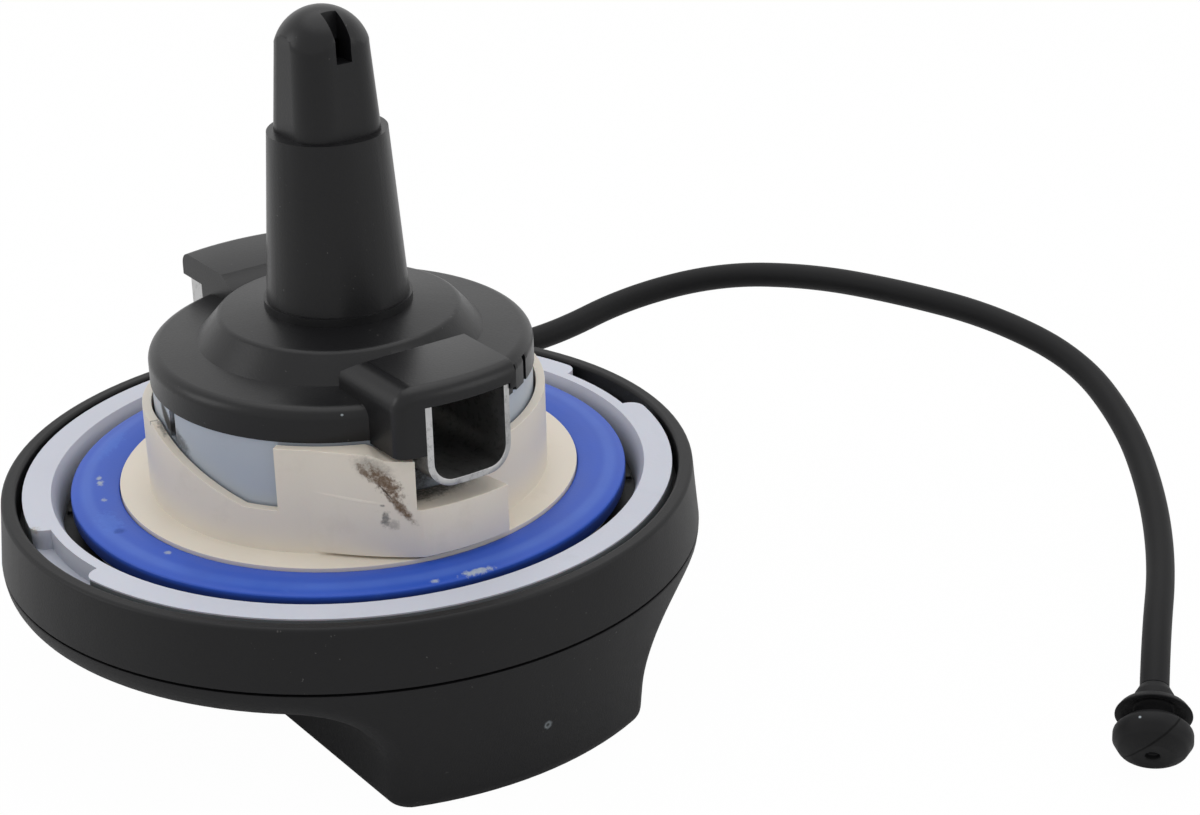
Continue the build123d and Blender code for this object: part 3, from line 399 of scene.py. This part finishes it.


# Tints of wear and dirt, and of painted shade and painted highlight, worked out when they are needed, since some
# follow the colours that a user sets.
TINTS = {
    # pale: a painted highlight, for the ledge of the collar's parting line.
    "pale": lambda: toned(colours().collar, 1.15),
    "khaki": lambda: toned(colours().collar, 0.52),
    "scuff": lambda: tuple(colours().scuff),
    "line": lambda: toned(colours().scuff, 0.35),
    "soot": lambda: tuple(colours().soot),
    "groove_shade": lambda: (0.085, 0.10, 0.095),
    "seam": lambda: toned(colours().strap, 0.1),
    "grease_and_shade": lambda: toned(colours().soot, 0.18),
    "bloom_and_highlight": lambda: (0.075, 0.17, 0.58),
    "chalk": lambda: (0.42, 0.47, 0.50),
    "dust": lambda: (0.16, 0.155, 0.15),
    "deep": lambda: toned(colours().seal, 0.55),
}


def new_finish(name):
    return Finish(bpy.data.materials.new(name))


def moulded_black(name, roughness, grain, grain_depth, gloss, marks=()):
    """Black moulded plastic with a fine grain, faint flow marks and dust."""
    finish = new_finish(name)
    shell = colours().shell
    cloud = finish.noise(14 * MM, 3.0)
    fine = finish.noise(grain, 2.0, 0.6)
    dust = finish.step(finish.noise(0.5 * MM, 1.0), 0.74, 0.80) * finish.step(finish.noise(9 * MM, 1.0), 0.5, 0.62)
    base = finish.mix(cloud, toned(shell, 0.8), toned(shell, 1.35))
    base = finish.mix(dust * 0.35, base, TINTS["dust"]())
    base, mark_cover = finish.marked(base, marks)
    rough = roughness + (cloud - 0.5) * 0.10 + (fine - 0.5) * 0.10 + dust * 0.2 + mark_cover * 0.2
    return finish.surface(Base_Color=base, Roughness=rough, Normal=finish.bump(fine, grain_depth),
                          Specular_IOR_Level=gloss)


def pale_plastic(name, shade, roughness, stain, soil, marks=(), in_groove=False):
    """Satin pale moulding with uneven tone, handling dirt and marks, and painted shade on the white ring's walls in
    the groove and against the rim.
    """
    finish = new_finish(name)
    cloud = finish.noise(11 * MM, 3.0)
    fine = finish.noise(0.35 * MM, 2.0)
    patches = finish.step(finish.noise(5 * MM, 4.0, 0.65), 0.56, 0.74)
    base = finish.mix(cloud, toned(shade, 0.94), toned(shade, 1.04))
    base = finish.mix(patches * stain, base, soil)
    if in_groove:
        # Painted shade: the ring's inner wall darkens towards the foot of the groove, and its outer wall below the
        # top goes dark beside the black rim.
        height = finish.height()
        low_down = 1.0 - finish.step(height, GROOVE_SHADE_LOW, GROOVE_SHADE_HIGH)
        inner_wall_shade = low_down * (finish.radius() < RING_INNER_RADIUS)
        edge = (height < RING_TOP) * (finish.radius() > RING_OUTER_RADIUS)
        base = finish.mix(inner_wall_shade * (0.28 + 0.25 * cloud) + edge * 0.8, base, TINTS["groove_shade"]())
    base, mark_cover = finish.marked(base, marks)
    rough = roughness + (cloud - 0.5) * 0.12 + (fine - 0.5) * 0.06 + mark_cover * 0.2
    return finish.surface(Base_Color=base, Roughness=rough, Normal=finish.bump(fine + mark_cover * 3.0, 0.012 * MM),
                          Subsurface_Weight=0.08, Subsurface_Scale=1.5 * MM)


def seal_rubber():
    """Blue rubber, paler where it has bloomed, with a few chalky rubs, a painted highlight along its crown and
    painted shade on its outer side.
    """
    finish = new_finish("seal_rubber")
    shade = tuple(colours().seal)
    cloud = finish.noise(8 * MM, 3.0)
    fine = finish.noise(0.3 * MM, 2.0)
    bloom_and_highlight = finish.step(finish.noise(3 * MM, 4.0, 0.7), 0.6, 0.8)
    base = finish.mix(cloud, toned(shade, 0.88), toned(shade, 1.12))
    base = finish.mix(bloom_and_highlight * 0.35, base, TINTS["bloom_and_highlight"]())
    # Painted highlight: a pale band along the crown, in the same pale blue as the bloom.
    crown_highlight = 1.0 - finish.step(abs(finish.radius() - CROWN_RADIUS), CROWN_CORE, CROWN_FADE)
    base = finish.mix(crown_highlight * cloud * 0.75, base, TINTS["bloom_and_highlight"]())
    # Painted shade: the seal's outer side goes dark navy towards its foot.
    side = 1.0 - finish.step(finish.height(), SEAL_SIDE_LOW, SEAL_SIDE_HIGH)
    base = finish.mix(side * 0.85, base, toned(shade, 0.22))
    base, mark_cover = finish.marked(base, SEAL_MARKS)
    rough = 0.42 + (cloud - 0.5) * 0.14 + bloom_and_highlight * 0.15 + mark_cover * 0.2
    return finish.surface(Base_Color=base, Roughness=rough, Normal=finish.bump(fine, 0.010 * MM),
                          Specular_IOR_Level=0.35)


def bright_steel():
    """Rolled sheet steel with fine streaks and dull patches, and painted shade on the leg inside the notch."""
    finish = new_finish("bright_steel")
    shade = tuple(colours().steel)
    streaks = finish.noise(0.5 * MM, 3.0, 0.6, finish.turned((0, 0, 0), (0, 0, 0), (14.0, 1.0, 1.0)))
    cloud = finish.noise(4 * MM, 2.0)
    tarnish = finish.step(cloud, 0.45, 0.8)
    specks = finish.step(finish.noise(0.7 * MM, 4.0, 0.7), 0.50, 0.66)
    base = finish.mix(tarnish * 0.5, shade, toned(shade, 0.6))
    base = finish.mix(specks * 0.45, base, toned(shade, 0.35))
    # Painted shade: the mark darkens the channel's leg beside the lug and takes its metal away there.
    base, mark_cover = finish.marked(base, STEEL_MARKS)
    rough = 0.34 + (streaks - 0.5) * 0.18 + tarnish * 0.12 + mark_cover * 0.3
    return finish.surface(Base_Color=base, Metallic=1.0 - mark_cover, Roughness=rough,
                          Normal=finish.bump(streaks, 0.006 * MM))


def strap_rubber():
    """Black rubber with a soft, uneven sheen."""
    finish = new_finish("strap_rubber")
    shade = tuple(colours().strap)
    cloud = finish.noise(6 * MM, 3.0)
    fine = finish.noise(0.25 * MM, 2.0)
    base = finish.mix(cloud, toned(shade, 0.8), toned(shade, 1.4))
    base, mark_cover = finish.marked(base, PLUG_MARKS)
    rough = 0.54 + (cloud - 0.5) * 0.16 + mark_cover * 0.3
    return finish.surface(Base_Color=base, Roughness=rough, Normal=finish.bump(fine, 0.010 * MM),
                          Specular_IOR_Level=0.17)


MATERIALS = {}


def make_materials():
    shades = colours()
    MATERIALS.update({
        "grip": moulded_black("grip_plastic", roughness=0.50, grain=0.22 * MM, grain_depth=0.020 * MM, gloss=0.22,
                              marks=GRIP_MARKS),
        "rim": moulded_black("rim_plastic", roughness=0.48, grain=0.25 * MM, grain_depth=0.018 * MM, gloss=0.22),
        "bayonet": moulded_black("bayonet_plastic", roughness=0.34, grain=0.30 * MM, grain_depth=0.012 * MM,
                                 gloss=0.27, marks=BAYONET_MARKS),
        "ring": pale_plastic("ring_plastic", shades.ring, roughness=0.38, stain=0.10, soil=(0.3, 0.3, 0.32),
                             marks=RING_MARKS, in_groove=True),
        "collar": pale_plastic("collar_plastic", shades.collar, roughness=0.42, stain=0.10,
                               soil=(0.40, 0.33, 0.25), marks=COLLAR_MARKS),
        "sleeve": pale_plastic("sleeve_plastic", shades.sleeve, roughness=0.36, stain=0.12, soil=(0.2, 0.2, 0.2),
                               marks=SLEEVE_MARKS),
        "inner": pale_plastic("inner_plastic", shades.inner, roughness=0.40, stain=0.08, soil=(0.3, 0.26, 0.2)),
        "seal": seal_rubber(),
        "steel": bright_steel(),
        "strap": strap_rubber(),
    })


# ---------------------------------------------------------------- making pieces

def add_piece(name, mesh, node, material):
    """A piece in place of a solid, on the solid's body."""
    piece = bpy.data.objects.new(name, mesh)
    bpy.context.scene.collection.objects.link(piece)
    mesh.materials.clear()
    mesh.materials.append(MATERIALS[material])
    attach(piece, body_of_node(node))
    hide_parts(node)
    return piece


def baked_mesh(piece):
    """The piece's mesh with its modifiers applied."""
    graph = bpy.context.evaluated_depsgraph_get()
    return bpy.data.meshes.new_from_object(piece.evaluated_get(graph), depsgraph=graph)


def body_of_node(node):
    for body, members in frame["record"]["behaviour"]["bodies"].items():
        if node in members:
            return body
    raise RuntimeError("no body holds " + node)


def spring_work(node):
    """The slide that works a spring, and the height of the spring's fixed end."""
    for joint in frame["record"]["behaviour"]["joints"]:
        for change in joint.get("deforming_nodes", []):
            if change["node"] == node:
                return joint, change["fixed_end_z_m"]
    raise RuntimeError("no joint works " + node)


def dress(node, material, edge):
    """A solid with its faces merged and its sharp edges rounded, in place of the bare solid."""
    mesh = frame["nodes"][node].data.copy()
    work = bmesh.new()
    work.from_mesh(mesh)
    bmesh.ops.remove_doubles(work, verts=work.verts, dist=MERGE_DISTANCE)
    bmesh.ops.dissolve_limit(work, angle_limit=FLAT_ANGLE, verts=work.verts, edges=work.edges)
    work.to_mesh(mesh)
    work.free()
    shaped = bpy.data.objects.new(node + "_shaping", mesh)
    bpy.context.scene.collection.objects.link(shaped)
    rounding = shaped.modifiers.new("edges", "BEVEL")
    rounding.width = edge
    rounding.segments = EDGE_SEGMENTS
    rounding.limit_method = "ANGLE"
    rounding.angle_limit = SHARP_ANGLE
    rounding.use_clamp_overlap = True
    rounding.miter_outer = "MITER_ARC"
    weighting = shaped.modifiers.new("normals", "WEIGHTED_NORMAL")
    weighting.keep_sharp = True
    for face in mesh.polygons:
        face.use_smooth = True
    finished = baked_mesh(shaped)
    bpy.data.objects.remove(shaped)
    finished.name = node + "_dressed"
    return add_piece(node + "_dressed", finished, node, material)


def paint(node, material):
    """A solid that keeps its own mesh and takes a finish."""
    solid = frame["nodes"][node]
    solid.data.materials.clear()
    solid.data.materials.append(MATERIALS[material])


# ---------------------------------------------------------------- springs in Geometry Nodes

SPRING_INPUTS = [
    ("Mean radius", "NodeSocketFloat"), ("Wire radius", "NodeSocketFloat"), ("Bottom", "NodeSocketFloat"),
    ("Top", "NodeSocketFloat"), ("Turns", "NodeSocketFloat"), ("Material", "NodeSocketMaterial"),
]


def spring_tree():
    """Coil with a closed turn at each end, from its radius, wire, ends and turns."""
    tree = bpy.data.node_groups.new("coil_spring", "GeometryNodeTree")
    tree.interface.new_socket(name="Geometry", in_out="INPUT", socket_type="NodeSocketGeometry")
    for name, kind in SPRING_INPUTS:
        tree.interface.new_socket(name=name, in_out="INPUT", socket_type=kind)
    tree.interface.new_socket(name="Geometry", in_out="OUTPUT", socket_type="NodeSocketGeometry")
    enter = tree.nodes.new("NodeGroupInput")
    leave = tree.nodes.new("NodeGroupOutput")

    def add(kind, inputs, **settings):
        made = tree.nodes.new(kind)
        for key, value in settings.items():
            setattr(made, key, value)
        for key, value in inputs.items():
            if isinstance(value, bpy.types.NodeSocket):
                tree.links.new(value, made.inputs[key])
            else:
                made.inputs[key].default_value = value
        return made

    def sums(operation, first, second):
        return add("ShaderNodeMath", {0: first, 1: second}, operation=operation).outputs[0]

    wire = enter.outputs["Wire radius"]
    low = sums("ADD", enter.outputs["Bottom"], wire)
    high = sums("SUBTRACT", enter.outputs["Top"], wire)
    low_place = add("ShaderNodeCombineXYZ", {"Z": low}).outputs[0]
    high_place = add("ShaderNodeCombineXYZ", {"Z": high}).outputs[0]
    mean = enter.outputs["Mean radius"]
    coil = add("GeometryNodeCurveSpiral", {"Resolution": COIL_POINTS, "Rotations": enter.outputs["Turns"],
                                           "Start Radius": mean, "End Radius": mean,
                                           "Height": sums("SUBTRACT", high, low)})
    ring = add("GeometryNodeCurvePrimitiveCircle", {"Resolution": END_TURN_POINTS, "Radius": mean}, mode="RADIUS")
    lifted = add("GeometryNodeTransform", {"Geometry": coil.outputs[0], "Translation": low_place})
    lower = add("GeometryNodeTransform", {"Geometry": ring.outputs[0], "Translation": low_place})
    upper = add("GeometryNodeTransform", {"Geometry": ring.outputs[0], "Translation": high_place})
    curves = tree.nodes.new("GeometryNodeJoinGeometry")
    for part in (lifted, lower, upper):
        tree.links.new(part.outputs[0], curves.inputs[0])
    section = add("GeometryNodeCurvePrimitiveCircle", {"Resolution": WIRE_POINTS, "Radius": wire}, mode="RADIUS")
    swept = add("GeometryNodeCurveToMesh", {"Curve": curves.outputs[0], "Profile Curve": section.outputs[0],
                                            "Fill Caps": True})
    whole = add("GeometryNodeRealizeInstances", {"Geometry": swept.outputs[0]})
    painted = add("GeometryNodeSetMaterial", {"Geometry": whole.outputs[0], "Material": enter.outputs["Material"]})
    tree.links.new(painted.outputs[0], leave.inputs[0])
    return tree


def make_spring(node, tree, wire, turns):
    """Coil in place of a solid spring."""
    low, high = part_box(node)
    values = {
        "Mean radius": high.x - wire, "Wire radius": wire, "Bottom": low.z, "Top": high.z,
        "Turns": float(turns), "Material": MATERIALS["steel"],
    }
    holder = bpy.data.objects.new(node + "_coiling", bpy.data.meshes.new(node + "_coiling"))
    bpy.context.scene.collection.objects.link(holder)
    coiling = holder.modifiers.new("coil", "NODES")
    coiling.node_group = tree
    for item in tree.interface.items_tree:
        if item.in_out == "INPUT" and item.name in values:
            coiling[item.identifier] = values[item.name]
    mesh = baked_mesh(holder)
    bpy.data.objects.remove(holder)
    for face in mesh.polygons:
        face.use_smooth = True
    piece = add_piece(node + "_coil", mesh, node, "steel")
    joint, fixed_end = spring_work(node)
    keep = 1 - max(joint["range_m"]) / (high.z - low.z)
    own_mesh(piece)


# ---------------------------------------------------------------- operators

class FILLERCAP_OT_camera(bpy.types.Operator):
    """Place the camera"""

    bl_idname = "filler_cap.camera"
    bl_label = "Camera"

    def execute(self, context):
        settings = stage_settings()
        camera = bpy.data.cameras.new("camera")
        camera.sensor_fit = "HORIZONTAL"
        camera.sensor_width = SENSOR_WIDTH_MM
        camera.lens = settings.lens
        camera.clip_start = 0.01
        camera.clip_end = 20.0
        turn = Matrix((CAMERA_RIGHT, CAMERA_UP, CAMERA_BACK)).transposed().to_4x4()
        holder = bpy.data.objects.new("camera", camera)
        holder.matrix_world = Matrix.Translation(Vector(settings.camera_place)) @ turn
        context.scene.collection.objects.link(holder)
        context.scene.camera = holder
        return {"FINISHED"}


class FILLERCAP_OT_finishes(bpy.types.Operator):
    """Make the cap's materials"""

    bl_idname = "filler_cap.finishes"
    bl_label = "Finishes"

    def execute(self, context):
        make_materials()
        return {"FINISHED"}


class FILLERCAP_OT_tether(bpy.types.Operator):
    """Make the tether's strap and plug"""

    bl_idname = "filler_cap.tether"
    bl_label = "Tether"

    def execute(self, context):
        plug = dress("tether_plug", "strap", 0.2 * MM)
        curve = bpy.data.curves.new("tether_strap_cord", "CURVE")
        curve.dimensions = "3D"
        curve.bevel_depth = sizes().strap_radius
        curve.bevel_resolution = 8
        curve.resolution_u = 12
        line = curve.splines.new("NURBS")
        line.points.add(len(STRAP_ROUTE) - 1)
        for point, place in zip(line.points, STRAP_ROUTE):
            point.co = (*place, 1.0)
        line.order_u = 3
        line.use_endpoint_u = True
        curve.materials.append(MATERIALS["strap"])
        strap = bpy.data.objects.new("tether_strap_cord", curve)
        context.scene.collection.objects.link(strap)
        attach(strap, "tether")
        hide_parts("tether_strap")
        return {"FINISHED"}


class FILLERCAP_OT_grip(bpy.types.Operator):
    """Dress the grip, the groove's floor and the white ring"""

    bl_idname = "filler_cap.grip"
    bl_label = "Grip"

    def execute(self, context):
        dress("grip_shell", "grip", sizes().shell_edge)
        dress("clutch_cover", "rim", sizes().moulding_edge)
        dress("retaining_ring", "ring", sizes().moulding_edge)
        dress("tether_ring", "rim", sizes().shell_edge)
        return {"FINISHED"}


class FILLERCAP_OT_clutch(bpy.types.Operator):
    """Finish the ratchet clutch and its shaft"""

    bl_idname = "filler_cap.clutch"
    bl_label = "Clutch and shaft"

    def execute(self, context):
        for node in ("drive_plate", "click_ring", "drive_shaft"):
            dress(node, "inner", sizes().moulding_edge)
        for node in ("drive_screw", "shaft_washer", "shaft_clip"):
            dress(node, "steel", sizes().sheet_edge)
        paint("shaft_o_ring", "strap")
        return {"FINISHED"}


class FILLERCAP_OT_collar(bpy.types.Operator):
    """Dress the closure collar and its blue seal"""

    bl_idname = "filler_cap.collar"
    bl_label = "Collar and seal"

    def execute(self, context):
        dress("closure_collar", "collar", sizes().moulding_edge)
        dress("seal_ring", "seal", sizes().moulding_edge)
        return {"FINISHED"}


class FILLERCAP_OT_valves(bpy.types.Operator):
    """Finish the two valves"""

    bl_idname = "filler_cap.valves"
    bl_label = "Valves"

    def execute(self, context):
        for node in ("valve_cage", "vacuum_valve_plate", "relief_poppet", "relief_retainer"):
            dress(node, "inner", sizes().sheet_edge)
        paint("vacuum_valve_seal", "seal")
        return {"FINISHED"}


class FILLERCAP_OT_bayonet(bpy.types.Operator):
    """Dress the bayonet, its steel channel, the sleeve and the tip"""

    bl_idname = "filler_cap.bayonet"
    bl_label = "Bayonet"

    def execute(self, context):
        dress("bayonet_body", "bayonet", sizes().shell_edge)
        dress("bayonet_channel", "steel", sizes().sheet_edge)
        dress("guide_sleeve", "sleeve", sizes().moulding_edge)
        dress("vent_tip", "bayonet", sizes().shell_edge)
        return {"FINISHED"}


class FILLERCAP_OT_springs(bpy.types.Operator):
    """Coil the three springs"""

    bl_idname = "filler_cap.springs"
    bl_label = "Springs"

    def execute(self, context):
        values = sizes()
        tree = spring_tree()
        make_spring("lift_spring", tree, values.lift_wire, values.lift_turns)
        make_spring("vacuum_valve_spring", tree, values.valve_wire, values.valve_turns)
        make_spring("relief_spring", tree, values.relief_wire, values.relief_turns)
        return {"FINISHED"}


class FILLERCAP_OT_stage(bpy.types.Operator):
    """Set the floor, the surroundings and the lamps"""

    bl_idname = "filler_cap.stage"
    bl_label = "Stage"

    def execute(self, context):
        self.add_floor(context)
        self.light_surroundings(context)
        for name, place, size in LAMPS:
            self.add_lamp(context, name, place, size)
        context.scene.view_settings.view_transform = "Standard"
        return {"FINISHED"}

    def add_floor(self, context):
        finish = new_finish("floor")
        camera_ray = finish.node("ShaderNodeLightPath", {}, {}, "Is Camera Ray")
        tone = finish.mix(finish.noise(0.3, 1.0), (0.88, 0.88, 0.88), (0.90, 0.90, 0.90))
        paper = finish.node("ShaderNodeBsdfDiffuse", {}, {"Color": tone})
        white = finish.node("ShaderNodeEmission", {}, {"Color": (1.0, 1.0, 1.0, 1.0), "Strength": 1.0})
        finish.close(finish.node("ShaderNodeMixShader", {}, {0: camera_ray * FLOOR_WHITE, 1: paper, 2: white}))
        mesh = bpy.data.meshes.new("floor")
        corners = [(x * FLOOR_REACH, y * FLOOR_REACH, FLOOR_HEIGHT) for x, y in ((-1, -1), (1, -1), (1, 1), (-1, 1))]
        mesh.from_pydata(corners, [], [(0, 1, 2, 3)])
        mesh.materials.append(finish.material)
        floor = bpy.data.objects.new("floor", mesh)
        context.scene.collection.objects.link(floor)

    def light_surroundings(self, context):
        """Full white for the camera and for reflections, and the fill's strength for everything else."""
        finish = Finish(bpy.data.worlds.new("surroundings"))
        context.scene.world = finish.material
        seen = 0.0
        for ray in ("Is Camera Ray", "Is Glossy Ray", "Is Transmission Ray"):
            seen = finish.maths("MAXIMUM", finish.node("ShaderNodeLightPath", {}, {}, ray), seen)
        fill = stage_settings().fill
        white = finish.node("ShaderNodeBackground", {}, {"Color": (1.0, 1.0, 1.0, 1.0),
                                                         "Strength": seen * (1.0 - fill) + fill})
        finish.close(white, "ShaderNodeOutputWorld")

    def add_lamp(self, context, name, place, size):
        lamp = bpy.data.lights.new(name, "AREA")
        lamp.shape = "DISK"
        lamp.size = size
        lamp.energy = getattr(stage_settings(), name)
        holder = bpy.data.objects.new(name, lamp)
        holder.location = place
        holder.rotation_euler = (Vector(LAMP_TARGET) - Vector(place)).to_track_quat("-Z", "Y").to_euler()
        context.scene.collection.objects.link(holder)


class FILLERCAP_PT_panel(bpy.types.Panel):
    """Filler cap tools"""

    bl_label = "Fuel filler cap"
    bl_idname = "FILLERCAP_PT_panel"
    bl_space_type = "VIEW_3D"
    bl_region_type = "UI"
    bl_category = "Filler cap"

    def draw(self, context):
        for group in ("filler_cap_colours", "filler_cap_sizes", "filler_cap_stage"):
            settings = getattr(context.scene, group)
            for key in settings.__annotations__:
                self.layout.prop(settings, key)
        for step in STEPS:
            self.layout.operator(step.bl_idname)


SETTINGS = [FillerCapColours, FillerCapSizes, FillerCapStage]
STEPS = [
    FILLERCAP_OT_camera, FILLERCAP_OT_finishes, FILLERCAP_OT_tether, FILLERCAP_OT_grip, FILLERCAP_OT_clutch,
    FILLERCAP_OT_collar, FILLERCAP_OT_valves, FILLERCAP_OT_bayonet, FILLERCAP_OT_springs, FILLERCAP_OT_stage,
]


def register():
    for item in SETTINGS + STEPS + [FILLERCAP_PT_panel]:
        bpy.utils.register_class(item)
    bpy.types.Scene.filler_cap_colours = PointerProperty(type=FillerCapColours)
    bpy.types.Scene.filler_cap_sizes = PointerProperty(type=FillerCapSizes)
    bpy.types.Scene.filler_cap_stage = PointerProperty(type=FillerCapStage)


def unregister():
    del bpy.types.Scene.filler_cap_stage
    del bpy.types.Scene.filler_cap_sizes
    del bpy.types.Scene.filler_cap_colours
    for item in reversed(SETTINGS + STEPS + [FILLERCAP_PT_panel]):
        bpy.utils.unregister_class(item)


def main():
    register()
    for step in STEPS:
        group, name = step.bl_idname.split(".")
        getattr(getattr(bpy.ops, group), name)()


if __name__ == "__main__":
    main()
